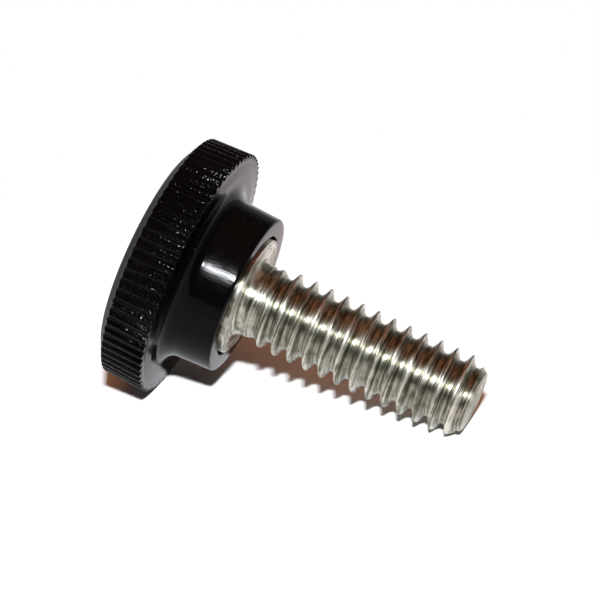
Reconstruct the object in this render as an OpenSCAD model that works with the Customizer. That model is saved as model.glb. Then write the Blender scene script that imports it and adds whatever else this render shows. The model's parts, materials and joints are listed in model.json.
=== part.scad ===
// Knurled thumb screw: a moulded knob pressed over the head of a socket head cap screw.
//
// Every module is drawn upright on the screw's own axis. Z = 0 is the knob's closed top
// and +Z runs to the tip. at_rest() then lays the part down on the edge of its rim and
// the last thread crest, which is how it comes to rest on a bench, and puts the origin on
// the axis at the bearing face, the underside of the head that bears on the work.

/* [Knob] */
// Diameter over the grip teeth, at the widest edge of the rim
knob_d = 19.05; // [17:0.05:24]
// Number of straight grip teeth
grip_teeth = 72; // [48:2:80]
// Depth of a grip tooth
tooth_depth = 0.3; // [0.15:0.01:0.4]
// Width of the toothed band, along the axis
band_w = 3.2; // [2.5:0.1:6]
// Mould draft on the rim and on the boss, in degrees
draft = 2.5; // [0.5:0.5:4]
// Radial width of the smooth bevel on the closed top
top_bevel_w = 1.5; // [0.5:0.1:2]
// Height of the smooth bevel on the closed top
top_bevel_h = 0.8; // [0.3:0.1:1.2]
// Radial width of the shallow bevel round the rim's other face
face_bevel_w = 1.6; // [1:0.1:1.7]
// Height of that shallow bevel
face_bevel_h = 0.15; // [0.05:0.01:0.4]
// Diameter of the boss where it meets the rim
boss_d = 12.45; // [11.2:0.05:13]
// Height of the boss above the rim's face
boss_h = 3.75; // [3.2:0.05:6]
// Radius where the boss runs into the rim's face
boss_fillet = 1.1; // [0.3:0.1:1.1]
// Rounding of the boss's end edge
boss_edge_r = 0.2; // [0.05:0.05:0.4]

/* [Screw] */
// Diameter of the cylindrical head, and of the knob's bore
head_d = 9.5; // [9.3:0.05:9.6]
// Height of the head
head_h = 6.35; // [5:0.05:6.35]
// How far the underside of the head stands out of the knob
head_proud = 0.2; // [0:0.05:0.4]
// Diameter of the washer face, the turned step that bears on the work
washer_d = 9; // [8.6:0.1:9.1]
// Height of that step
washer_h = 0.7; // [0.3:0.05:1]
// Width across the flats of the hexagon socket
socket_af = 4.76; // [4:0.01:5]
// Depth of the hexagon socket
socket_depth = 3.05; // [2:0.05:3.5]
// Length from the underside of the head to the tip
screw_len = 18.2; // [12:0.1:25]
// Outside diameter of the thread
thread_d = 6.22; // [6.1:0.01:6.35]
// Distance from one thread crest to the next
pitch = 1.27; // [1:0.01:1.3]
// Depth of the thread, crest to root
thread_depth = 0.73; // [0.6:0.01:0.78]
// Length of the chamfered tip
tip_len = 1.1; // [0.6:0.05:1.5]
// Diameter of the flat end of the tip
tip_d = 4.55; // [4:0.01:4.75]
// Turn of the thread about its axis, in degrees
thread_turn = 315; // [0:5:360]

/* [Hidden] */
$fn = 96;
overlap = 0.5;

// Levels along the axis
band_z = top_bevel_h;
rim_z = band_z + band_w;
face_z = rim_z + face_bevel_h;
seat_z = face_z + boss_h;
bearing_z = seat_z + head_proud;
tip_z = bearing_z + screw_len;
head_top_z = bearing_z - head_h;

// Rim and boss
rim_r = knob_d / 2;
band_back_r = rim_r - band_w * tan(draft);
top_r = band_back_r - top_bevel_w;
face_r = rim_r - face_bevel_w;
boss_r = boss_d / 2;
seat_r = boss_r - boss_h * tan(draft);
fillet_x = boss_r + boss_fillet * (1 / cos(draft) - tan(draft));

// Grip teeth: straight V-shaped ridges, which the rim's own taper cuts off to narrow flats
tooth_angle = 360 / grip_teeth;
crest_angle = 0.16 * tooth_angle;
root_r = rim_r - tooth_depth;
ridge_r = root_r + tooth_depth * tooth_angle / (tooth_angle - crest_angle);

// Screw head
bore_edge = 0.05;
head_top_edge = 0.35;
socket_r = socket_af / 2 / cos(30);
neck_fillet = 0.45;

// Thread: it rises out of the plain neck, whose radius lies halfway up the thread
crest_r = thread_d / 2;
groove_r = crest_r - thread_depth;
neck_r = crest_r - thread_depth / 2;
core_r = neck_r - 0.02;
neck_len = 0.85;
fade_len = 1.6;
crest_w = pitch / 8;
flank_w = 0.6 * tan(30);
groove_w = pitch - crest_w - 2 * flank_w;
groove_flat = 0.35 * groove_w;
groove_rise = thread_depth - 0.6;
thread_steps = 32;
// Distance along one pitch, and radius there: crest, flank, rounded root, flank
thread_profile = [
    [0, crest_r],
    [crest_w, crest_r],
    [crest_w + flank_w, groove_r + groove_rise],
    [crest_w + flank_w + (groove_w - groove_flat) / 2, groove_r],
    [crest_w + flank_w + (groove_w + groove_flat) / 2, groove_r],
    [pitch - flank_w, groove_r + groove_rise],
];
profile_n = len(thread_profile);
thread_z0 = bearing_z - overlap;
thread_rows = ceil((screw_len + overlap + 0.3) / pitch * thread_steps);

// How the part lies: the tilt at which the tip's lowest crest meets the bench that the
// two lowest teeth stand on. +X of the upright part turns downwards.
rest_rim_r = rim_r * cos((tooth_angle - crest_angle) / 2);
rest_tilt = min([
    for (z = [neck_len + fade_len : 0.01 : screw_len])
        atan2(rest_rim_r - underside_r(z), bearing_z + z - rim_z)
]);

// How far the thread has grown out of the blank at height z above the bearing face
function fade(z) = min(1, max(0, (z - neck_len) / fade_len));

// Radius of the tip's chamfer at height z above the bearing face
function chamfer_r(z) = tip_d / 2 + (screw_len - z) * (crest_r - tip_d / 2) / tip_len;

// Height of the thread's starting row above the bearing face at angle a
function row_z(i) = thread_z0 - bearing_z + pitch * i / thread_steps;

// Radius of the thread on its underside at height z above the bearing face
function underside_r(z) =
    let (along = z - row_z(0) + pitch * thread_turn / 360)
    min(lookup(along - pitch * floor(along / pitch), concat(thread_profile, [[pitch, crest_r]])),
        chamfer_r(z));

function thread_point(i, k) =
    let (z = row_z(i) + thread_profile[k][0],
         r = core_r + fade(z) * (thread_profile[k][1] - core_r),
         a = 360 * i / thread_steps + thread_turn)
    [r * cos(a), r * sin(a), bearing_z + z];

// Turned shape of the rim, boss and fillet
module knob_profile() {
    polygon([
        [0, 0],
        [top_r, 0],
        [band_back_r, band_z],
        [rim_r, rim_z],
        [face_r, face_z],
        [0, face_z],
    ]);
    polygon([
        [0, face_z - overlap],
        [boss_r, face_z - overlap],
        [boss_r, face_z],
        [seat_r + boss_edge_r * tan(draft), seat_z - boss_edge_r],
        [seat_r - boss_edge_r, seat_z],
        [0, seat_z],
    ]);
    translate([seat_r - boss_edge_r, seat_z - boss_edge_r])
        circle(boss_edge_r);
    difference() {
        polygon([
            [0, face_z],
            [fillet_x, face_z],
            [fillet_x - boss_fillet * cos(draft), face_z + boss_fillet * (1 - sin(draft))],
            [0, face_z + boss_fillet],
        ]);
        translate([fillet_x, face_z + boss_fillet])
            circle(boss_fillet);
    }
}

// Outline of the rim across the axis, with straight teeth
module toothed_outline() {
    polygon([
        for (i = [0 : 2 * grip_teeth - 1])
            let (r = i % 2 == 0 ? root_r : ridge_r, a = i * tooth_angle / 2)
            [r * cos(a), r * sin(a)]
    ]);
}

module knob() {
    color("#1b1c1e")
        at_rest()
            difference() {
                intersection() {
                    linear_extrude(seat_z + overlap)
                        toothed_outline();
                    rotate_extrude()
                        knob_profile();
                }
                translate([0, 0, head_top_z])
                    cylinder(h = head_h, d = head_d);
                translate([0, 0, seat_z - bore_edge])
                    cylinder(h = 2 * bore_edge, d1 = head_d, d2 = head_d + 4 * bore_edge);
            }
}

// Head, its hexagon socket, and the neck with its fillet
module screw_head() {
    difference() {
        rotate_extrude() {
            polygon([
                [0, head_top_z],
                [head_d / 2 - head_top_edge, head_top_z],
                [head_d / 2, head_top_z + head_top_edge],
                [head_d / 2, bearing_z - washer_h],
                [washer_d / 2, bearing_z - washer_h],
                [washer_d / 2, bearing_z],
                [0, bearing_z],
            ]);
            translate([0, bearing_z - overlap])
                square([neck_r, neck_len + overlap]);
            translate([0, bearing_z])
                difference() {
                    square([neck_r + neck_fillet, neck_fillet]);
                    translate([neck_r + neck_fillet, neck_fillet])
                        circle(neck_fillet);
                }
        }
        translate([0, 0, head_top_z - overlap])
            cylinder(h = socket_depth + overlap, r = socket_r, $fn = 6);
        translate([0, 0, head_top_z + socket_depth])
            cylinder(h = socket_af / 4, d1 = socket_af, d2 = 0);
    }
}

// Threaded rod: one row of the profile for each step round the axis, each a little
// higher than the last, so that a row's end meets the start of the row one turn on
module threaded_rod() {
    last = thread_rows;
    points = concat(
        [for (i = [0 : last + thread_steps]) for (k = [0 : profile_n - 1]) thread_point(i, k)],
        [[0, 0, thread_z0], [0, 0, bearing_z + row_z(last + thread_steps)]]
    );
    foot = len(points) - 2;
    top = len(points) - 1;
    faces = concat(
        [for (i = [0 : last - 1]) for (k = [0 : profile_n - 1])
            each thread_cell(i, k)],
        [for (i = [0 : thread_steps - 1]) [foot, at(i, 0), at(i + 1, 0)]],
        [for (k = [0 : profile_n - 1]) [foot, at(0, k + 1), at(0, k)]],
        [for (i = [last : last + thread_steps - 1]) [top, at(i + 1, 0), at(i, 0)]],
        [for (k = [0 : profile_n - 1]) [top, at(last, k), at(last, k + 1)]]
    );
    polyhedron(points, faces);
}

// Number of point k of row i; past a row's end it is the first point one turn on
function at(i, k) = k < profile_n ? i * profile_n + k : (i + thread_steps) * profile_n;

// The two triangles of one cell of the thread's surface
function thread_cell(i, k) = [
    [at(i, k), at(i, k + 1), at(i + 1, k + 1)],
    [at(i, k), at(i + 1, k + 1), at(i + 1, k)],
];

// Space that the turned blank fills, with its chamfered tip
module blank_envelope() {
    rotate_extrude()
        polygon([
            [0, bearing_z - 2 * overlap],
            [crest_r + overlap, bearing_z - 2 * overlap],
            [crest_r + overlap, tip_z - tip_len - overlap * tip_len / (crest_r - tip_d / 2)],
            [tip_d / 2, tip_z],
            [0, tip_z],
        ]);
}

module screw() {
    color("#b9b7ae")
        at_rest() {
            screw_head();
            intersection() {
                threaded_rod();
                blank_envelope();
            }
        }
}

module at_rest() {
    rotate([0, 90 + rest_tilt, 0])
        translate([0, 0, -bearing_z])
            children();
}

knob();
screw();
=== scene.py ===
"""Thumb screw: a knurled knob of glossy black plastic, pressed over the head of a steel cap screw.

Each piece is modelled upright, with the screw's axis on Z and the knob's closed top at Z = 0,
and is then laid down to where the part rests: on the edge of its rim and its last thread crest.
"""
import json
import math

import bmesh
import bpy
from mathutils import Matrix, Vector


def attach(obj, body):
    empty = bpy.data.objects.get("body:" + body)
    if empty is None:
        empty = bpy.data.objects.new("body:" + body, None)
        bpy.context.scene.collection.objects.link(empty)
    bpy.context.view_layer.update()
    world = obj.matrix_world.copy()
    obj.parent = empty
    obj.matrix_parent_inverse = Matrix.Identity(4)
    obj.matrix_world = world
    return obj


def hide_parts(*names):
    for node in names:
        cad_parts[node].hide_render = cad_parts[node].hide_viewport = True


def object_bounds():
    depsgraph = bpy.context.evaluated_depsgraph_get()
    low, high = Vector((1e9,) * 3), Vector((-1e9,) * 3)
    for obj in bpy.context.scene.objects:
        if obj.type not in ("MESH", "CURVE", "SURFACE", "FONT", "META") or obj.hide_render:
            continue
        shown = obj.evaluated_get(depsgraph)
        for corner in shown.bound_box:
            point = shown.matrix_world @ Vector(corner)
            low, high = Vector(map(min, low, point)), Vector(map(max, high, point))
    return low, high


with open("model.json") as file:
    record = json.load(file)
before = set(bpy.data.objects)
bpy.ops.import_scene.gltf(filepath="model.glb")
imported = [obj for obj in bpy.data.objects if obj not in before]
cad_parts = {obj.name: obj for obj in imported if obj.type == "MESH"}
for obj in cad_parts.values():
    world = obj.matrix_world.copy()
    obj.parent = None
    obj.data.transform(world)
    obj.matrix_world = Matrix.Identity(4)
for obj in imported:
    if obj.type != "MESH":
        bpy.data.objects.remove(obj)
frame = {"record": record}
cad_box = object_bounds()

bl_info = {
    "name": "Knurled thumb screw",
    "version": (1, 0, 0),
    "blender": (4, 5, 0),
    "location": "View3D > Sidebar > Thumb screw",
    "description": "Models a thumb screw with its finishes, and a small studio round it",
    "category": "Add Mesh",
}

MM = 0.001
TURN = 2 * math.pi

seat = next(m for m in frame["record"]["mounts"] if m["name"] == "seat")
screw_axis = Vector(seat["axis"]).normalized()
rest_tilt = math.asin(-screw_axis.z)


# ---------------------------------------------------------------------------------------------
# Sizes and colours that a user would change
# ---------------------------------------------------------------------------------------------

def size_property(name, millimetres, description):
    """A length with its default given in millimetres."""
    return bpy.props.FloatProperty(
        name=name, description=description, default=millimetres * MM, precision=5, unit="LENGTH"
    )


class KnobSettings(bpy.types.PropertyGroup):
    rim_d: size_property("Rim diameter", 19.05, "Diameter over the grip teeth")
    tooth_depth: size_property("Tooth depth", 0.3, "Depth of a grip tooth")
    band_w: size_property("Band width", 3.2, "Width of the toothed band along the axis")
    top_bevel_w: size_property("Top bevel width", 1.5, "Radial width of the closed top's bevel")
    top_bevel_h: size_property("Top bevel height", 0.8, "Height of the closed top's bevel")
    face_bevel_w: size_property("Face bevel width", 1.6, "Radial width of the rim face's bevel")
    face_bevel_h: size_property("Face bevel height", 0.15, "Height of the rim face's bevel")
    boss_d: size_property("Boss diameter", 12.45, "Diameter of the boss at its root")
    boss_h: size_property("Boss height", 3.75, "Height of the boss above the rim's face")
    boss_fillet: size_property("Boss fillet", 1.1, "Radius at the root of the boss")
    boss_edge: size_property("Boss edge", 0.2, "Rounding of the boss's end edge")
    teeth: bpy.props.IntProperty(
        name="Grip teeth", description="Number of grip teeth", default=72, min=12
    )
    draft: bpy.props.FloatProperty(
        name="Draft", description="Mould draft of the rim and the boss",
        default=math.radians(2.5), subtype="ANGLE",
    )
    colour: bpy.props.StringProperty(
        name="Colour", description="Colour of the plastic, as sRGB hex", default="#030304"
    )
    dust: bpy.props.StringProperty(
        name="Dust", description="Colour of the dust on the plastic, as sRGB hex",
        default="#4a4b45",
    )


class ScrewSettings(bpy.types.PropertyGroup):
    head_d: size_property("Head diameter", 9.5, "Diameter of the head and of the bore")
    head_h: size_property("Head height", 6.35, "Height of the head")
    head_proud: size_property("Head proud", 0.2, "How far the head stands out of the knob")
    washer_d: size_property("Washer face", 9, "Diameter of the step that bears on the work")
    washer_h: size_property("Washer height", 0.7, "Height of that step")
    socket_af: size_property("Socket", 4.76, "Width of the hexagon socket across its flats")
    socket_depth: size_property("Socket depth", 3.05, "Depth of the hexagon socket")
    length: size_property("Length", 18.2, "Length from the underside of the head to the tip")
    thread_d: size_property("Thread diameter", 6.22, "Outside diameter of the thread")
    pitch: size_property("Pitch", 1.27, "Distance from crest to crest")
    thread_depth: size_property("Thread depth", 0.73, "Depth of the thread")
    tip_len: size_property("Tip length", 1.1, "Length of the chamfered tip")
    tip_d: size_property("Tip diameter", 4.55, "Diameter of the flat end of the tip")
    thread_turn: bpy.props.FloatProperty(
        name="Thread turn", description="Turn of the thread about its axis",
        default=math.radians(315), subtype="ANGLE",
    )
    colour: bpy.props.StringProperty(
        name="Colour", description="Colour of the steel, as sRGB hex", default="#dddbd2"
    )
    # This colour stands for dried oil in patches, and is also the painted shade at the bottom of
    # the grooves
    stain_and_groove_shade: bpy.props.StringProperty(
        name="Stain", description="Colour of the steel where oil has dried, as sRGB hex",
        default="#57563f",
    )


class StageSettings(bpy.types.PropertyGroup):
    azimuth: bpy.props.FloatProperty(
        name="Azimuth", description="Turn of the camera round the part",
        default=math.radians(21.02), subtype="ANGLE",
    )
    elevation: bpy.props.FloatProperty(
        name="Elevation", description="Height of the camera above the bench",
        default=math.radians(27.15), subtype="ANGLE",
    )
    distance: size_property("Distance", 299.3, "Distance from the camera to the part")
    aim_right: size_property("Aim right", 7.33, "How far right of the rim the camera aims")
    aim_down: size_property("Aim down", 1.93, "How far below the rim the camera aims")
    lens: bpy.props.FloatProperty(
        name="Lens", description="Focal length of the camera", default=245.6, unit="CAMERA"
    )
    lamp_lift: bpy.props.FloatProperty(
        name="Lamp lift", description="Angle of the lamp above the camera",
        default=math.radians(14.5), subtype="ANGLE",
    )
    lamp_power: bpy.props.FloatProperty(
        name="Lamp power", description="Power of the lamp", default=6.8, unit="POWER"
    )
    lamp_away: size_property("Lamp distance", 600, "Distance from the lamp to the part")
    lamp_w: size_property("Lamp width", 48, "Width of the lamp")
    lamp_h: size_property("Lamp height", 28, "Height of the lamp")
    paper_w: size_property("Paper width", 62, "Width of the strip of paper")
    paper_l: size_property("Paper length", 170, "Length of the strip, away from the camera")
    paper_colour: bpy.props.StringProperty(
        name="Paper", description="Colour of the paper, as sRGB hex", default="#f4f4f4"
    )
    wall_colour: bpy.props.StringProperty(
        name="Wall", description="Colour of the far wall, as sRGB hex", default="#9a9a98"
    )
    shade_colour: bpy.props.StringProperty(
        name="Shade", description="Colour of the wall higher up, as sRGB hex", default="#584640"
    )
    ceiling_colour: bpy.props.StringProperty(
        name="Ceiling", description="Colour of the ceiling, as sRGB hex", default="#bc7040"
    )
    dark_colour: bpy.props.StringProperty(
        name="Dark", description="Colour of the room behind the lamp, as sRGB hex",
        default="#0e0c0a",
    )


# ---------------------------------------------------------------------------------------------
# Modelling helpers
# ---------------------------------------------------------------------------------------------

def deselect_all():
    """Leave edit mode with nothing selected."""
    if bpy.context.object and bpy.context.object.mode != "OBJECT":
        bpy.ops.object.mode_set(mode="OBJECT")
    bpy.ops.object.select_all(action="DESELECT")


def round_corner(before, corner, after, radius, steps):
    """Points of an arc of a given radius that rounds the corner between two straight lines."""
    corner = Vector(corner)
    to_before = (Vector(before) - corner).normalized()
    to_after = (Vector(after) - corner).normalized()
    half = to_before.angle(to_after) / 2
    centre = corner + (to_before + to_after).normalized() * radius / math.sin(half)
    first = corner + to_before * radius / math.tan(half) - centre
    last = corner + to_after * radius / math.tan(half) - centre
    swing = first.angle_signed(last)
    points = []
    for i in range(steps + 1):
        turned = first.copy()
        turned.rotate(Matrix.Rotation(-swing * i / steps, 2))
        points.append(tuple(centre + turned))
    return points


def round_outline(corners, steps):
    """An outline from (radius, height, rounding) corners; a rounding of 0 leaves a corner sharp."""
    outline = []
    for i, (x, z, rounding) in enumerate(corners):
        if rounding:
            outline += round_corner(corners[i - 1][:2], (x, z), corners[i + 1][:2], rounding, steps)
        else:
            outline.append((x, z))
    return outline


def trace(name, outline):
    """Draw an outline in the XZ plane from a single point, one edge after another."""
    deselect_all()
    bpy.ops.mesh.primitive_plane_add(size=MM)
    piece = bpy.context.object
    piece.name = piece.data.name = name
    bpy.ops.object.mode_set(mode="EDIT")
    bpy.ops.mesh.select_all(action="SELECT")
    bpy.ops.mesh.merge(type="CENTER")
    bpy.ops.transform.translate(value=(outline[0][0], 0, outline[0][1]))
    for (x, z), (next_x, next_z) in zip(outline, outline[1:]):
        step = (next_x - x, 0, next_z - z)
        bpy.ops.mesh.extrude_vertices_move(TRANSFORM_OT_translate={"value": step})
    bpy.ops.mesh.select_all(action="SELECT")
    return piece


MERGE_GAP = 0.001 * MM


def spin_solid(name, outline, steps):
    """Turn an outline that starts and ends on the axis into a closed round solid."""
    piece = trace(name, outline)
    bpy.ops.mesh.spin(steps=steps, angle=TURN, center=(0, 0, 0), axis=(0, 0, 1))
    bpy.ops.mesh.select_all(action="SELECT")
    bpy.ops.mesh.remove_doubles(threshold=MERGE_GAP)
    bpy.ops.mesh.normals_make_consistent(inside=False)
    return piece


def pick_points(test):
    """Select the points of the piece in edit mode whose place passes a test."""
    mesh = bmesh.from_edit_mesh(bpy.context.object.data)
    for point in mesh.verts:
        point.select_set(test(point.co))
    mesh.select_flush(False)
    bmesh.update_edit_mesh(bpy.context.object.data)


def apply_modifier(piece, kind, **settings):
    """Add one modifier to a piece and apply it."""
    deselect_all()
    bpy.context.view_layer.objects.active = piece
    piece.select_set(True)
    modifier = piece.modifiers.new(kind.title(), kind)
    for name, value in settings.items():
        setattr(modifier, name, value)
    bpy.ops.object.modifier_apply(modifier=modifier.name)


def combine(piece, other, operation):
    """Join, cut or trim a piece with another closed solid, which is used up."""
    apply_modifier(piece, "BOOLEAN", object=other, operation=operation, solver="EXACT")
    bpy.data.objects.remove(other)


def lay_down(piece, bearing_z, smooth_angle):
    """Move a finished upright piece to its place at rest and shade it smooth."""
    deselect_all()
    bpy.context.view_layer.objects.active = piece
    piece.select_set(True)
    piece.location = (0, 0, -bearing_z)
    bpy.ops.object.transform_apply(location=True)
    piece.rotation_euler = (0, math.pi / 2 + rest_tilt, 0)
    bpy.ops.object.transform_apply(rotation=True)
    bpy.ops.object.shade_smooth_by_angle(angle=smooth_angle)


# ---------------------------------------------------------------------------------------------
# Materials
# ---------------------------------------------------------------------------------------------

def linear(hex_colour):
    """An sRGB hex colour as linear RGBA."""
    channels = [int(hex_colour[i:i + 2], 16) / 255 for i in (1, 3, 5)]
    return [c / 12.92 if c <= 0.04045 else ((c + 0.055) / 1.055) ** 2.4 for c in channels] + [1.0]


def add_node(tree, kind, sockets=None, **settings):
    """Add one node, set its properties, and give its sockets values or links."""
    made = tree.nodes.new(kind)
    for name, value in settings.items():
        setattr(made, name, value)
    for name, value in (sockets or {}).items():
        enabled = [socket for socket in made.inputs if socket.enabled and socket.name == name]
        socket = enabled[0] if enabled else made.inputs[name]
        if isinstance(value, bpy.types.NodeSocket):
            tree.links.new(value, socket)
        else:
            socket.default_value = value
    return made


def new_material(name):
    """An empty node material and its output node."""
    material = bpy.data.materials.new(name)
    material.use_nodes = True
    material.node_tree.nodes.clear()
    return material, add_node(material.node_tree, "ShaderNodeOutputMaterial")


# Levels between which most of a noise pattern lies
NOISE_LOW = 0.3
NOISE_HIGH = 0.7


def upright_coordinates(tree):
    """Place on the upright part in millimetres, its distance from the axis and its height.

    The origin is on the axis at the bearing face, and Z runs along the screw to its tip.
    """
    place = add_node(tree, "ShaderNodeTexCoord")
    upright = add_node(
        tree, "ShaderNodeMapping",
        {
            "Vector": place.outputs["Object"],
            "Rotation": (0, -(math.pi / 2 + rest_tilt), 0),
            "Scale": (1 / MM, 1 / MM, 1 / MM),
        },
    ).outputs["Vector"]
    across = add_node(
        tree, "ShaderNodeVectorMath", {0: upright, 1: (1, 1, 0)}, operation="MULTIPLY"
    )
    radius = add_node(
        tree, "ShaderNodeVectorMath", {0: across.outputs["Vector"]}, operation="LENGTH"
    ).outputs["Value"]
    height = add_node(tree, "ShaderNodeSeparateXYZ", {"Vector": upright}).outputs["Z"]
    return upright, radius, height


# The plastic: the sizes of its patterns and the depths of their relief, in millimetres
PEEL_MM = 0.5
PEEL_DEPTH_MM = 0.0012
STREAK_MM = 0.14
STREAK_DEPTH_MM = 0.006
GRIP_WEAR_MM = 0.2
GRIP_WEAR_DEPTH_MM = 0.045
DUST_MM = 0.25
# The streaks' width as a share of their length
STREAK_STRETCH = 0.12
# Noise levels between which a speck of dust shows
DUST_FROM = 0.76
DUST_TO = 0.82
# How far outside and inside the end of a form its finish blends in, in millimetres
BLEND_OUT_MM = 0.1
BLEND_IN_MM = 0.2
# Where the worn grip starts and is full, in tooth depths below the crests
GRIP_FROM = 2.0
GRIP_FULL = 1.6
# Roughness of the gloss, and how much the streaks and the satin top add to it
GLOSS_LEAST = 0.09
GLOSS_MOST = 0.14
STREAK_DULLING = 0.12
TOP_DULLING = 0.38
ABS_IOR = 1.54
# Low, so that the plastic stays black beside its reflections
ABS_SPECULAR = 0.06


def moulded_abs(knob, screw):
    """Moulded black ABS: deep black under a hard gloss with a faint orange peel.

    The closed top is satin. The boss's wall is dulled by fine streaks, which the mould drew
    along the axis. Handling has left the grip uneven, and a few specks of dust stick to it.
    """
    material, output = new_material("moulded_black_abs")
    tree = material.node_tree
    upright, radius, height = upright_coordinates(tree)
    peel = add_node(
        tree, "ShaderNodeTexNoise", {"Vector": upright, "Scale": 1 / PEEL_MM, "Detail": 1.0}
    ).outputs["Fac"]
    drawn = add_node(
        tree, "ShaderNodeVectorMath", {0: upright, 1: (1, 1, STREAK_STRETCH)},
        operation="MULTIPLY",
    ).outputs["Vector"]
    streaks = add_node(
        tree, "ShaderNodeTexNoise", {"Vector": drawn, "Scale": 1 / STREAK_MM, "Detail": 2.0}
    ).outputs["Fac"]
    wall_start = -(screw.head_proud + knob.boss_h - knob.boss_fillet) / MM
    wall_end = -(screw.head_proud + knob.boss_edge) / MM
    above_fillet = add_node(
        tree, "ShaderNodeMapRange",
        {
            "Value": height, "From Min": wall_start - BLEND_OUT_MM,
            "From Max": wall_start + BLEND_IN_MM,
        },
    ).outputs["Result"]
    below_edge = add_node(
        tree, "ShaderNodeMapRange",
        {
            "Value": height, "From Min": wall_end + BLEND_OUT_MM / 2,
            "From Max": wall_end - BLEND_IN_MM,
        },
    ).outputs["Result"]
    wall = add_node(
        tree, "ShaderNodeMath", {0: above_fillet, 1: below_edge}, operation="MULTIPLY"
    ).outputs["Value"]
    wall_dulling = add_node(
        tree, "ShaderNodeMapRange",
        {
            "Value": streaks, "From Min": NOISE_LOW, "From Max": NOISE_HIGH,
            "To Max": STREAK_DULLING,
        },
    ).outputs["Result"]
    gloss = add_node(
        tree, "ShaderNodeMapRange", {"Value": peel, "To Min": GLOSS_LEAST, "To Max": GLOSS_MOST}
    ).outputs["Result"]
    top_bevel_end = (knob.top_bevel_h - knob_heights(knob, screw)[-1]) / MM
    top_dulling = add_node(
        tree, "ShaderNodeMapRange",
        {
            "Value": height, "From Min": top_bevel_end - BLEND_OUT_MM,
            "From Max": top_bevel_end, "To Min": TOP_DULLING, "To Max": 0.0,
        },
    ).outputs["Result"]
    grip = add_node(
        tree, "ShaderNodeMapRange",
        {
            "Value": radius,
            "From Min": (knob.rim_d / 2 - GRIP_FROM * knob.tooth_depth) / MM,
            "From Max": (knob.rim_d / 2 - GRIP_FULL * knob.tooth_depth) / MM,
        },
    ).outputs["Result"]
    duller = add_node(
        tree, "ShaderNodeMath", {0: gloss, 1: top_dulling}, operation="ADD"
    ).outputs["Value"]
    roughness = add_node(
        tree, "ShaderNodeMath", {0: wall, 1: wall_dulling, 2: duller}, operation="MULTIPLY_ADD"
    ).outputs["Value"]
    peel_bump = add_node(
        tree, "ShaderNodeBump",
        {"Height": peel, "Strength": 1.0, "Distance": PEEL_DEPTH_MM * MM},
    )
    streak_height = add_node(
        tree, "ShaderNodeMath", {0: wall, 1: streaks}, operation="MULTIPLY"
    ).outputs["Value"]
    streak_bump = add_node(
        tree, "ShaderNodeBump",
        {
            "Height": streak_height, "Strength": 1.0, "Distance": STREAK_DEPTH_MM * MM,
            "Normal": peel_bump.outputs["Normal"],
        },
    )
    wear = add_node(
        tree, "ShaderNodeTexNoise", {"Vector": upright, "Scale": 1 / GRIP_WEAR_MM, "Detail": 2.0}
    ).outputs["Fac"]
    wear_height = add_node(
        tree, "ShaderNodeMath", {0: grip, 1: wear}, operation="MULTIPLY"
    ).outputs["Value"]
    wear_bump = add_node(
        tree, "ShaderNodeBump",
        {
            "Height": wear_height, "Strength": 1.0, "Distance": GRIP_WEAR_DEPTH_MM * MM,
            "Normal": streak_bump.outputs["Normal"],
        },
    )
    dust = add_node(
        tree, "ShaderNodeTexNoise", {"Vector": upright, "Scale": 1 / DUST_MM, "Detail": 1.0}
    ).outputs["Fac"]
    specks = add_node(
        tree, "ShaderNodeMapRange", {"Value": dust, "From Min": DUST_FROM, "From Max": DUST_TO}
    ).outputs["Result"]
    colour = add_node(
        tree, "ShaderNodeMix",
        {"Factor": specks, "A": linear(knob.colour), "B": linear(knob.dust)}, data_type="RGBA",
    )
    shader = add_node(
        tree, "ShaderNodeBsdfPrincipled",
        {
            "Base Color": colour.outputs["Result"], "Roughness": roughness, "IOR": ABS_IOR,
            "Specular IOR Level": ABS_SPECULAR, "Normal": wear_bump.outputs["Normal"],
        },
    )
    tree.links.new(shader.outputs["BSDF"], output.inputs["Surface"])
    return material


# The steel: its marks are fine across and long along the thread, in millimetres
MARK_MM = 0.13
MARK_LENGTH_MM = 1.6
MARK_DEPTH_MM = 0.028
BLOTCH_MM = 0.7
# Where the marks change from turned rings to rolled ones at the neck, and back at the tip
NECK_BLEND_MM = 0.1
TIP_BLEND_MM = 0.05
TIP_FACE_MM = 0.01
# How far below the crests the seam starts and is full
SEAM_FROM_MM = 0.12
SEAM_FULL_MM = 0.02
# How much the blotches add to the marks, and the levels between which the steel comes clean
BLOTCH_SHARE = 0.4
WIPED_FROM = 0.6
WIPED_TO = 0.8
# How clean the steel is under the strongest stain, and how bright its colour stays under the
# painted shade at the bottom of the grooves
STAINED_CLEAN = 0.1
SHADED_GROOVE_LEVEL = 0.5
# Where the painted shade in the grooves starts, as a share of their depth, and ends, below the
# crests
GROOVE_SHADE_SHARE = 0.9
GROOVE_SHADE_END_MM = 0.15
# Roughness where the marks are faint and where they are strong, and what the seam adds
SHINE_LEAST = 0.32
SHINE_MOST = 0.5
SEAM_DULLING = 0.1
# How far the marks draw a highlight out across them; a quarter turn sets them along the thread
MARK_STRETCH = 0.9
QUARTER_TURN = 0.25


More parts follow.
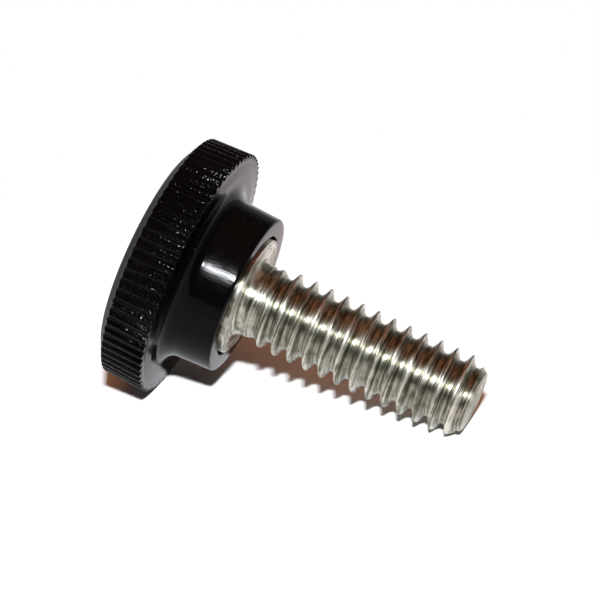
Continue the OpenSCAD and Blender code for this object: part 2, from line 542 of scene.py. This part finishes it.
def rolled_steel(screw):
    """Stainless steel: the thread is rolled, the head and its washer face are turned.

    Rolling leaves bright flanks with marks that run along the thread and a duller seam on
    the crest. Turning leaves rings round the axis. Both sets of marks stretch a lamp's
    highlight along the screw. Dried oil stains the steel brown in patches, and the grooves
    are darkened towards the same brown as painted shade.
    """
    material, output = new_material("rolled_stainless_steel")
    tree = material.node_tree
    upright, radius, height = upright_coordinates(tree)
    turned = add_node(tree, "ShaderNodeSeparateXYZ", {"Vector": upright})
    angle = add_node(
        tree, "ShaderNodeMath", {0: turned.outputs["Y"], 1: turned.outputs["X"]},
        operation="ARCTAN2",
    ).outputs["Value"]
    pitch = screw.pitch / MM
    unwound = add_node(
        tree, "ShaderNodeMath", {0: angle, 1: -pitch / TURN, 2: height}, operation="MULTIPLY_ADD"
    ).outputs["Value"]
    crest_at = CREST_MIDDLE * pitch - ROD_FOOT / MM - pitch * screw.thread_turn / TURN
    in_groove = add_node(
        tree, "ShaderNodeMath", {0: unwound, 1: -crest_at % pitch - pitch / 2}, operation="ADD"
    ).outputs["Value"]
    profile = add_node(
        tree, "ShaderNodeMath", {0: in_groove, 1: pitch}, operation="FLOORED_MODULO"
    ).outputs["Value"]
    past_neck = add_node(
        tree, "ShaderNodeMapRange",
        {
            "Value": height, "From Min": NECK_LEN / MM,
            "From Max": NECK_LEN / MM + NECK_BLEND_MM,
        },
    ).outputs["Result"]
    tip = screw.length / MM
    before_tip = add_node(
        tree, "ShaderNodeMapRange",
        {"Value": height, "From Min": tip - TIP_FACE_MM, "From Max": tip - TIP_BLEND_MM},
    ).outputs["Result"]
    threaded = add_node(
        tree, "ShaderNodeMath", {0: past_neck, 1: before_tip}, operation="MULTIPLY"
    ).outputs["Value"]
    across_marks = add_node(
        tree, "ShaderNodeMix", {"Factor": threaded, "A": radius, "B": profile}
    ).outputs["Result"]
    sideways = add_node(tree, "ShaderNodeCombineXYZ", {"X": across_marks}).outputs["Vector"]
    closely = add_node(
        tree, "ShaderNodeVectorMath", {0: sideways, 1: (1 / MARK_MM, 0, 0)}, operation="MULTIPLY"
    ).outputs["Vector"]
    drawn_out = add_node(
        tree, "ShaderNodeVectorMath",
        {0: upright, 1: (1 / MARK_LENGTH_MM,) * 3, 2: closely}, operation="MULTIPLY_ADD",
    ).outputs["Vector"]
    marks = add_node(
        tree, "ShaderNodeTexNoise", {"Vector": drawn_out, "Scale": 1.0, "Detail": 2.0}
    ).outputs["Fac"]
    blotches = add_node(
        tree, "ShaderNodeTexNoise", {"Vector": upright, "Scale": 1 / BLOTCH_MM, "Detail": 2.0}
    ).outputs["Fac"]
    crest_r = screw.thread_d / 2 / MM
    crest = add_node(
        tree, "ShaderNodeMapRange",
        {
            "Value": radius, "From Min": crest_r - SEAM_FROM_MM,
            "From Max": crest_r - SEAM_FULL_MM,
        },
    ).outputs["Result"]
    seam = add_node(
        tree, "ShaderNodeMath", {0: crest, 1: threaded}, operation="MULTIPLY"
    ).outputs["Value"]
    polish = add_node(
        tree, "ShaderNodeMapRange",
        {
            "Value": marks, "From Min": NOISE_LOW, "From Max": NOISE_HIGH,
            "To Min": SHINE_LEAST, "To Max": SHINE_MOST,
        },
    ).outputs["Result"]
    roughness = add_node(
        tree, "ShaderNodeMath", {0: seam, 1: SEAM_DULLING, 2: polish}, operation="MULTIPLY_ADD"
    ).outputs["Value"]
    patchy = add_node(
        tree, "ShaderNodeMath", {0: blotches, 1: BLOTCH_SHARE, 2: marks},
        operation="MULTIPLY_ADD",
    ).outputs["Value"]
    wiped = add_node(
        tree, "ShaderNodeMapRange",
        {
            "Value": patchy, "From Min": WIPED_FROM, "From Max": WIPED_TO,
            "To Min": STAINED_CLEAN,
        },
    ).outputs["Result"]
    # Painted shade: the steel's colour darkens towards the bottom of the grooves
    painted_groove_shade = add_node(
        tree, "ShaderNodeMapRange",
        {
            "Value": radius, "From Min": crest_r - GROOVE_SHADE_SHARE * screw.thread_depth / MM,
            "From Max": crest_r - GROOVE_SHADE_END_MM, "To Min": SHADED_GROOVE_LEVEL,
        },
    ).outputs["Result"]
    unstained_and_unshaded = add_node(
        tree, "ShaderNodeMath", {0: wiped, 1: painted_groove_shade}, operation="MULTIPLY"
    ).outputs["Value"]
    # Mixes towards the stain colour where dried oil stains the steel and where shade is painted
    # into the grooves
    colour = add_node(
        tree, "ShaderNodeMix",
        {"Factor": unstained_and_unshaded, "A": linear(screw.stain_and_groove_shade), "B": linear(screw.colour)}, data_type="RGBA",
    )
    bump = add_node(
        tree, "ShaderNodeBump",
        {"Height": marks, "Strength": 1.0, "Distance": MARK_DEPTH_MM * MM},
    )
    place = add_node(tree, "ShaderNodeTexCoord").outputs["Object"]
    along_marks = add_node(
        tree, "ShaderNodeVectorMath", {0: place, 1: screw_axis}, operation="CROSS_PRODUCT"
    ).outputs["Vector"]
    shader = add_node(
        tree, "ShaderNodeBsdfPrincipled",
        {
            "Base Color": colour.outputs["Result"], "Metallic": 1.0, "Roughness": roughness,
            "Anisotropic": MARK_STRETCH, "Anisotropic Rotation": QUARTER_TURN,
            "Tangent": along_marks, "Normal": bump.outputs["Normal"],
        },
    )
    tree.links.new(shader.outputs["BSDF"], output.inputs["Surface"])
    return material


# ---------------------------------------------------------------------------------------------
# Pieces
# ---------------------------------------------------------------------------------------------

# Edges that turn by more than this stay sharp
KNOB_SMOOTH = math.radians(32)
SCREW_SMOOTH = math.radians(35)
BORE_EDGE = 0.05 * MM
BAND_ROUND = 0.05 * MM
TOP_ROUND = 0.5 * MM
FACE_ROUND = 0.2 * MM
# How far inside the teeth's roots a ring keeps each bevel flat
RING_INSET = 0.05 * MM
# Steps of an arc in the knob's and the head's outlines
ARC_STEPS = 6
TOOTH_STEPS = 10
# Share of the tooth's depth at each step round one tooth, from the middle of a root
TOOTH_FORM = [1.0, 0.94, 0.62, 0.3, 0.04, 0.0, 0.04, 0.3, 0.62, 0.94]


def knob_heights(knob, screw):
    """Heights of the knob's faces and of the screw's bearing face above the closed top."""
    rim_z = knob.top_bevel_h + knob.band_w
    face_z = rim_z + knob.face_bevel_h
    seat_z = face_z + knob.boss_h
    return rim_z, face_z, seat_z, seat_z + screw.head_proud


class THUMBSCREW_OT_knob(bpy.types.Operator):
    """Model the moulded knob with its grip teeth, boss and blind bore"""

    bl_idname = "thumbscrew.knob"
    bl_label = "Knob"

    def execute(self, context):
        knob, screw = context.scene.thumbscrew_knob, context.scene.thumbscrew_screw
        rim_z, face_z, seat_z, bearing_z = knob_heights(knob, screw)
        rim_r = knob.rim_d / 2
        slope = math.tan(knob.draft)
        back_r = rim_r - knob.band_w * slope
        root_r = rim_r - knob.tooth_depth
        face_r = rim_r - knob.face_bevel_w
        boss_r = knob.boss_d / 2
        end_r = boss_r - knob.boss_h * slope
        bore_r = screw.head_d / 2
        bore_floor = bearing_z - screw.head_h
        ring_r = root_r - RING_INSET
        back_slope = knob.top_bevel_h / knob.top_bevel_w
        face_slope = knob.face_bevel_h / knob.face_bevel_w
        outline = round_outline([
            (0, 0, 0),
            (back_r - knob.top_bevel_w, 0, TOP_ROUND),
            (ring_r, knob.top_bevel_h - (back_r - ring_r) * back_slope, 0),
            (back_r, knob.top_bevel_h, BAND_ROUND),
            (rim_r, rim_z, BAND_ROUND),
            (ring_r, rim_z + (rim_r - ring_r) * face_slope, 0),
            (face_r, face_z, FACE_ROUND),
            (boss_r, face_z, knob.boss_fillet),
            (end_r, seat_z, knob.boss_edge),
            (bore_r + BORE_EDGE, seat_z, 0),
            (bore_r, seat_z - BORE_EDGE, 0),
            (bore_r, bore_floor, 0),
            (0, bore_floor, 0),
        ], ARC_STEPS)
        piece = spin_solid("knob_moulding", outline, knob.teeth * TOOTH_STEPS)
        cut_teeth(knob, rim_r, back_r, root_r)
        piece.data.materials.append(moulded_abs(knob, screw))
        lay_down(piece, bearing_z, KNOB_SMOOTH)
        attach(piece, "root")
        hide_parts("knob")
        return {"FINISHED"}


def cut_teeth(knob, rim_r, back_r, root_r):
    """Draw the rim's points in towards the axis, step by step round each tooth."""
    step = TURN / (knob.teeth * TOOTH_STEPS)
    middle = knob.top_bevel_h + knob.band_w / 2
    ends = (
        (True, rim_r, knob.face_bevel_h / knob.face_bevel_w),
        (False, back_r, -knob.top_bevel_h / knob.top_bevel_w),
    )
    for front, full_r, bevel in ends:
        for phase, share in enumerate(TOOTH_FORM):
            depth = share * (full_r - root_r)
            pick_points(
                lambda co: (co.z > middle) == front
                and co.xy.length > root_r
                and round(math.atan2(co.y, co.x) / step) % TOOTH_STEPS == phase
            )
            scale = 1 - depth / full_r
            bpy.ops.transform.resize(value=(scale, scale, 1), center_override=(0, 0, 0))
            bpy.ops.transform.translate(value=(0, 0, depth * bevel))


class THUMBSCREW_OT_screw(bpy.types.Operator):
    """Model the cap screw with its socket, rolled thread and chamfered tip"""

    bl_idname = "thumbscrew.screw"
    bl_label = "Screw"

    def execute(self, context):
        knob, screw = context.scene.thumbscrew_knob, context.scene.thumbscrew_screw
        bearing_z = knob_heights(knob, screw)[-1]
        piece = turn_head(screw, bearing_z)
        rod = roll_thread(screw, bearing_z)
        combine(rod, tip_envelope(screw, bearing_z), "INTERSECT")
        combine(piece, rod, "UNION")
        combine(piece, socket_cutter(screw, bearing_z), "DIFFERENCE")
        piece.data.materials.append(rolled_steel(screw))
        lay_down(piece, bearing_z, SCREW_SMOOTH)
        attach(piece, "root")
        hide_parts("screw")
        return {"FINISHED"}


# Bevel and rounding of the head's hidden edge, and roundings of the washer face's step
HEAD_EDGE = 0.35 * MM
HEAD_ROUND = 0.1 * MM
STEP_ROUND = 0.05 * MM
WASHER_ROUND = 0.06 * MM
# The neck runs between two small lips: how far they stand out, their flats and their slopes
NECK_LEN = 0.85 * MM
NECK_FILLET = 0.45 * MM
NECK_ROUND = 0.06 * MM
LIP_OUT = 0.05 * MM
LIP_FLAT = 0.06 * MM
LIP_SLOPE = 0.07 * MM
LIP_ROUND = 0.04 * MM
# The second lip runs out inside the thread
RUNOUT = 0.05 * MM
RUNOUT_ROUND = 0.03 * MM
# The thread: the length over which it grows out of the neck, its crest and its flanks
FADE_LEN = 1.6 * MM
# Height of the crest's middle where the thread starts, as a share of the pitch
CREST_MIDDLE = 1 / 16
CREST_W = 0.1 * MM
CREST_ROUND = 0.05 * MM
FLANK_ANGLE = math.radians(27)
# The straight flanks' share of the depth, and the flat's share of the rounded root
FLANK_SHARE = 0.7
ROOT_SHARE = 0.45
ROOT_ROUND = 0.12 * MM
# Steps of an arc in the thread's and the tip's outlines
THREAD_ARC_STEPS = 4
# How far the rod lies inside the neck, and how far it reaches into the head
ROD_INSET = 0.02 * MM
ROD_FOOT = 0.5 * MM
# Steps round the turned shapes and round the rod, which share no line along the axis
TURNED_STEPS = 190
ROD_STEPS = 100


def turn_head(screw, bearing_z):
    """The head, with its turned washer face, and the neck with its fillet and two small lips."""
    head_r = screw.head_d / 2
    washer_r = screw.washer_d / 2
    neck_r = (screw.thread_d - screw.thread_depth) / 2
    top_z = bearing_z - screw.head_h
    step_z = bearing_z - screw.washer_h
    lip_r = neck_r + LIP_OUT
    lip_z = bearing_z + NECK_FILLET + LIP_FLAT
    neck_end = bearing_z + NECK_LEN
    outline = round_outline([
        (0, top_z, 0),
        (head_r - HEAD_EDGE, top_z, HEAD_ROUND),
        (head_r, top_z + HEAD_EDGE, HEAD_ROUND),
        (head_r, step_z, STEP_ROUND),
        (washer_r, step_z, STEP_ROUND),
        (washer_r, bearing_z, WASHER_ROUND),
        (lip_r, bearing_z, NECK_FILLET),
        (lip_r, lip_z, LIP_ROUND),
        (neck_r, lip_z + LIP_SLOPE, NECK_ROUND),
        (neck_r, neck_end - LIP_SLOPE, NECK_ROUND),
        (lip_r, neck_end, LIP_ROUND),
        (lip_r, neck_end + RUNOUT, RUNOUT_ROUND),
        (neck_r - LIP_OUT, neck_end + 2 * RUNOUT, 0),
        (0, neck_end + 2 * RUNOUT, 0),
    ], ARC_STEPS)
    piece = spin_solid("screw_cap_head", outline, TURNED_STEPS)
    bpy.ops.object.mode_set(mode="OBJECT")
    return piece


def thread_share(height):
    """How far the thread has grown out of the blank at a height above the bearing face."""
    return min(1.0, max(0.0, (height - NECK_LEN) / FADE_LEN))


def roll_thread(screw, bearing_z):
    """The threaded rod: one pitch of the profile, screwed up the axis and faded in at the neck."""
    crest_r = screw.thread_d / 2
    root_r = crest_r - screw.thread_depth
    core_r = crest_r - screw.thread_depth / 2 - ROD_INSET
    first = bearing_z - ROD_FOOT + CREST_MIDDLE * screw.pitch
    middle = first + screw.pitch / 2
    flank_depth = FLANK_SHARE * screw.thread_depth
    shoulder_r = crest_r - flank_depth
    shoulder = screw.pitch / 2 - CREST_W / 2 - flank_depth * math.tan(FLANK_ANGLE)
    outline = round_outline([
        (crest_r, first, 0),
        (crest_r, first + CREST_W / 2, CREST_ROUND),
        (shoulder_r, middle - shoulder, ROOT_ROUND),
        (root_r, middle - ROOT_SHARE * shoulder, ROOT_ROUND),
        (root_r, middle + ROOT_SHARE * shoulder, ROOT_ROUND),
        (shoulder_r, middle + shoulder, ROOT_ROUND),
        (crest_r, first + screw.pitch - CREST_W / 2, CREST_ROUND),
        (crest_r, first + screw.pitch, 0),
    ], THREAD_ARC_STEPS)
    rod = trace("thread_rod", outline)
    bpy.ops.transform.rotate(
        value=-screw.thread_turn, orient_axis="Z", center_override=(0, 0, 0)
    )
    bpy.ops.object.mode_set(mode="OBJECT")
    turns = math.ceil((screw.length + ROD_FOOT) / screw.pitch) + 1
    apply_modifier(
        rod, "SCREW", angle=TURN, screw_offset=screw.pitch, iterations=turns,
        steps=ROD_STEPS, render_steps=ROD_STEPS, use_merge_vertices=True,
        merge_threshold=MERGE_GAP,
    )
    fading = rod.vertex_groups.new(name="fading")
    for point in rod.data.vertices:
        share = thread_share(point.co.z - bearing_z)
        fading.add([point.index], 1 - share, "REPLACE")
    apply_modifier(
        rod, "CAST", cast_type="CYLINDER", use_z=False, use_radius_as_size=False,
        size=core_r, factor=1.0, vertex_group="fading",
    )
    bpy.ops.object.mode_set(mode="EDIT")
    bpy.ops.mesh.select_all(action="SELECT")
    bpy.ops.mesh.remove_doubles(threshold=MERGE_GAP)
    bpy.ops.mesh.fill_holes(sides=0)
    bpy.ops.mesh.select_face_by_sides(number=4, type="GREATER", extend=False)
    bpy.ops.mesh.poke()
    bpy.ops.mesh.select_all(action="SELECT")
    bpy.ops.mesh.normals_make_consistent(inside=False)
    bpy.ops.object.mode_set(mode="OBJECT")
    return rod


# How far the blank's space clears the thread and reaches into the head, and the tip's rounding
ENVELOPE_GAP = 0.5 * MM
ENVELOPE_FOOT = 0.3 * MM
TIP_ROUND = 0.12 * MM


def tip_envelope(screw, bearing_z):
    """The space inside the turned blank, with its chamfered tip."""
    crest_r = screw.thread_d / 2
    tip_z = bearing_z + screw.length
    wide = crest_r + ENVELOPE_GAP
    rise = screw.tip_len / (crest_r - screw.tip_d / 2)
    foot_z = bearing_z - ENVELOPE_FOOT
    outline = round_outline([
        (0, foot_z, 0),
        (wide, foot_z, 0),
        (wide, tip_z - (wide - screw.tip_d / 2) * rise, 0),
        (screw.tip_d / 2, tip_z, TIP_ROUND),
        (0, tip_z, 0),
    ], THREAD_ARC_STEPS)
    piece = spin_solid("tip_envelope", outline, TURNED_STEPS)
    bpy.ops.object.mode_set(mode="OBJECT")
    return piece


def socket_cutter(screw, bearing_z):
    """The hexagon socket, which the closed knob hides."""
    deselect_all()
    bpy.ops.mesh.primitive_cylinder_add(
        vertices=6, radius=screw.socket_af / math.sqrt(3), depth=2 * screw.socket_depth,
        location=(0, 0, bearing_z - screw.head_h),
    )
    return bpy.context.object


# The lamp's light is a little cool, as linear red, green and blue
LAMP_TINT = (0.94, 0.97, 1.0)
SENSOR_WIDTH = 36


class THUMBSCREW_OT_stage(bpy.types.Operator):
    """Lay the strip of paper, light it and aim the camera"""

    bl_idname = "thumbscrew.stage"
    bl_label = "Studio"

    def execute(self, context):
        stage = context.scene.thumbscrew_stage
        knob, screw = context.scene.thumbscrew_knob, context.scene.thumbscrew_screw
        rim_z, _, _, bearing_z = knob_heights(knob, screw)
        rim_centre = screw_axis * (rim_z - bearing_z)
        right = Vector((math.cos(stage.azimuth), math.sin(stage.azimuth), 0))
        level = Vector((-math.sin(stage.azimuth), math.cos(stage.azimuth), 0))
        up_z = Vector((0, 0, 1))
        forward = level * math.cos(stage.elevation) - up_z * math.sin(stage.elevation)
        up = level * math.sin(stage.elevation) + up_z * math.cos(stage.elevation)
        aim = rim_centre + right * stage.aim_right - up * stage.aim_down

        deselect_all()
        bpy.ops.mesh.primitive_plane_add(
            size=1, location=(aim.x, aim.y, cad_box[0].z), rotation=(0, 0, stage.azimuth)
        )
        floor = bpy.context.object
        floor.name = "strip_of_paper"
        floor.scale = (stage.paper_w, stage.paper_l, 1)
        bpy.ops.object.transform_apply(location=True, rotation=True, scale=True)
        floor.data.materials.append(matt_paper(stage))

        bpy.ops.object.camera_add(location=aim - forward * stage.distance)
        camera = bpy.context.object
        camera.rotation_euler = forward.to_track_quat("-Z", "Y").to_euler()
        camera.data.lens = stage.lens
        camera.data.sensor_width = SENSOR_WIDTH
        context.scene.camera = camera

        lift = stage.lamp_lift
        towards_lamp = -forward * math.cos(lift) + up * math.sin(lift)
        bpy.ops.object.light_add(type="AREA", location=towards_lamp * stage.lamp_away)
        lamp = bpy.context.object
        lamp.rotation_euler = (-towards_lamp).to_track_quat("-Z", "Y").to_euler()
        lamp.data.shape = "RECTANGLE"
        lamp.data.size = stage.lamp_w
        lamp.data.size_y = stage.lamp_h
        lamp.data.energy = stage.lamp_power
        lamp.data.color = LAMP_TINT

        context.scene.world = dim_room(stage, -level)
        context.scene.view_settings.view_transform = "Standard"
        return {"FINISHED"}


def background_rays(tree):
    """1 for the rays that show the background: the camera's, and those in metal and glass."""
    path = add_node(tree, "ShaderNodeLightPath")
    mirrored = add_node(
        tree, "ShaderNodeMath",
        {0: path.outputs["Is Glossy Ray"], 1: path.outputs["Is Transmission Ray"]},
        operation="ADD",
    ).outputs["Value"]
    return add_node(
        tree, "ShaderNodeMath", {0: path.outputs["Is Camera Ray"], 1: mirrored},
        operation="ADD", use_clamp=True,
    ).outputs["Value"]


# Heights are sines of the angle above the horizon, from where a blend starts to where it ends
SHADE_FROM = 0.2
SHADE_TO = 0.45
CEILING_FROM = 0.55
CEILING_TO = 0.95
FLOOR_BLEND = 0.02
# Cosines of the angle from the front, between which the room goes dark
DARK_FROM = 0.3
DARK_TO = 0.7


def dim_room(stage, front):
    """A dim room with a grey far wall and a warm ceiling, dark to the front, behind the lamp.

    Below the horizon it is dark as well, but plain white to the rays that show the background.
    """
    world = bpy.data.worlds.new("dim_room")
    world.use_nodes = True
    tree = world.node_tree
    tree.nodes.clear()
    output = add_node(tree, "ShaderNodeOutputWorld")
    way = add_node(tree, "ShaderNodeTexCoord").outputs["Generated"]
    height = add_node(tree, "ShaderNodeSeparateXYZ", {"Vector": way}).outputs["Z"]
    to_front = add_node(
        tree, "ShaderNodeVectorMath", {0: way, 1: front}, operation="DOT_PRODUCT"
    ).outputs["Value"]
    higher_up = add_node(
        tree, "ShaderNodeMapRange",
        {"Value": height, "From Min": SHADE_FROM, "From Max": SHADE_TO},
    ).outputs["Result"]
    overhead = add_node(
        tree, "ShaderNodeMapRange",
        {"Value": height, "From Min": CEILING_FROM, "From Max": CEILING_TO},
    ).outputs["Result"]
    wall = add_node(
        tree, "ShaderNodeMix",
        {"Factor": higher_up, "A": linear(stage.wall_colour), "B": linear(stage.shade_colour)},
        data_type="RGBA",
    ).outputs["Result"]
    room = add_node(
        tree, "ShaderNodeMix",
        {"Factor": overhead, "A": wall, "B": linear(stage.ceiling_colour)}, data_type="RGBA",
    ).outputs["Result"]
    behind_lamp = add_node(
        tree, "ShaderNodeMapRange",
        {"Value": to_front, "From Min": DARK_FROM, "From Max": DARK_TO},
    ).outputs["Result"]
    below = add_node(
        tree, "ShaderNodeMapRange",
        {"Value": height, "From Min": 0.0, "From Max": -FLOOR_BLEND},
    ).outputs["Result"]
    dark = add_node(
        tree, "ShaderNodeMath", {0: behind_lamp, 1: below}, operation="MAXIMUM"
    ).outputs["Value"]
    colour = add_node(
        tree, "ShaderNodeMix",
        {"Factor": dark, "A": room, "B": linear(stage.dark_colour)}, data_type="RGBA",
    ).outputs["Result"]
    plain = add_node(
        tree, "ShaderNodeMath", {0: below, 1: background_rays(tree)}, operation="MULTIPLY"
    ).outputs["Value"]
    backdrop = add_node(
        tree, "ShaderNodeMix", {"Factor": plain, "A": colour, "B": (1, 1, 1, 1)}, data_type="RGBA"
    ).outputs["Result"]
    background = add_node(tree, "ShaderNodeBackground", {"Color": backdrop, "Strength": 1.0})
    tree.links.new(background.outputs["Background"], output.inputs["Surface"])
    return world


GRAIN_MM = 0.4
GRAIN_DEPTH_MM = 0.002
# Distances from the part between which the paper turns plain white
PLAIN_FROM = 28 * MM
PLAIN_TO = 40 * MM


def matt_paper(stage):
    """Matt white paper with a faint grain, which keeps the part's shadow.

    Further out it is plain white to the camera and in what mirrors it.
    """
    material, output = new_material("matt_white_paper")
    tree = material.node_tree
    place = add_node(tree, "ShaderNodeTexCoord").outputs["Object"]
    grain = add_node(
        tree, "ShaderNodeTexNoise", {"Vector": place, "Scale": 1 / (GRAIN_MM * MM), "Detail": 2.0}
    ).outputs["Fac"]
    bump = add_node(
        tree, "ShaderNodeBump",
        {"Height": grain, "Strength": 1.0, "Distance": GRAIN_DEPTH_MM * MM},
    )
    shader = add_node(
        tree, "ShaderNodeBsdfDiffuse",
        {"Color": linear(stage.paper_colour), "Normal": bump.outputs["Normal"]},
    )
    away = add_node(tree, "ShaderNodeVectorMath", {0: place}, operation="LENGTH").outputs["Value"]
    far = add_node(
        tree, "ShaderNodeMapRange",
        {"Value": away, "From Min": PLAIN_FROM, "From Max": PLAIN_TO},
    ).outputs["Result"]
    plain = add_node(
        tree, "ShaderNodeMath", {0: far, 1: background_rays(tree)}, operation="MULTIPLY"
    ).outputs["Value"]
    glow = add_node(tree, "ShaderNodeEmission", {"Color": (1, 1, 1, 1), "Strength": 1.0})
    mixed = add_node(
        tree, "ShaderNodeMixShader",
        {0: plain, 1: shader.outputs["BSDF"], 2: glow.outputs["Emission"]},
    )
    tree.links.new(mixed.outputs["Shader"], output.inputs["Surface"])
    return material


# ---------------------------------------------------------------------------------------------
# Panel and registration
# ---------------------------------------------------------------------------------------------

OPERATORS = (THUMBSCREW_OT_knob, THUMBSCREW_OT_screw, THUMBSCREW_OT_stage)
SETTINGS = {
    "thumbscrew_knob": KnobSettings,
    "thumbscrew_screw": ScrewSettings,
    "thumbscrew_stage": StageSettings,
}


class THUMBSCREW_PT_panel(bpy.types.Panel):
    """Buttons that build the thumb screw and its studio"""

    bl_idname = "THUMBSCREW_PT_panel"
    bl_label = "Thumb screw"
    bl_space_type = "VIEW_3D"
    bl_region_type = "UI"
    bl_category = "Thumb screw"

    def draw(self, context):
        for operator, name in zip(OPERATORS, SETTINGS):
            self.layout.operator(operator.bl_idname)
            settings = getattr(context.scene, name)
            for field in settings.__annotations__:
                self.layout.prop(settings, field)


def register():
    for cls in (*SETTINGS.values(), *OPERATORS, THUMBSCREW_PT_panel):
        bpy.utils.register_class(cls)
    for name, group in SETTINGS.items():
        setattr(bpy.types.Scene, name, bpy.props.PointerProperty(type=group))


def unregister():
    for name in SETTINGS:
        delattr(bpy.types.Scene, name)
    for cls in (THUMBSCREW_PT_panel, *OPERATORS[::-1], *SETTINGS.values()):
        bpy.utils.unregister_class(cls)


def main():
    register()
    bpy.ops.thumbscrew.knob()
    bpy.ops.thumbscrew.screw()
    bpy.ops.thumbscrew.stage()


if __name__ == "__main__":
    main()
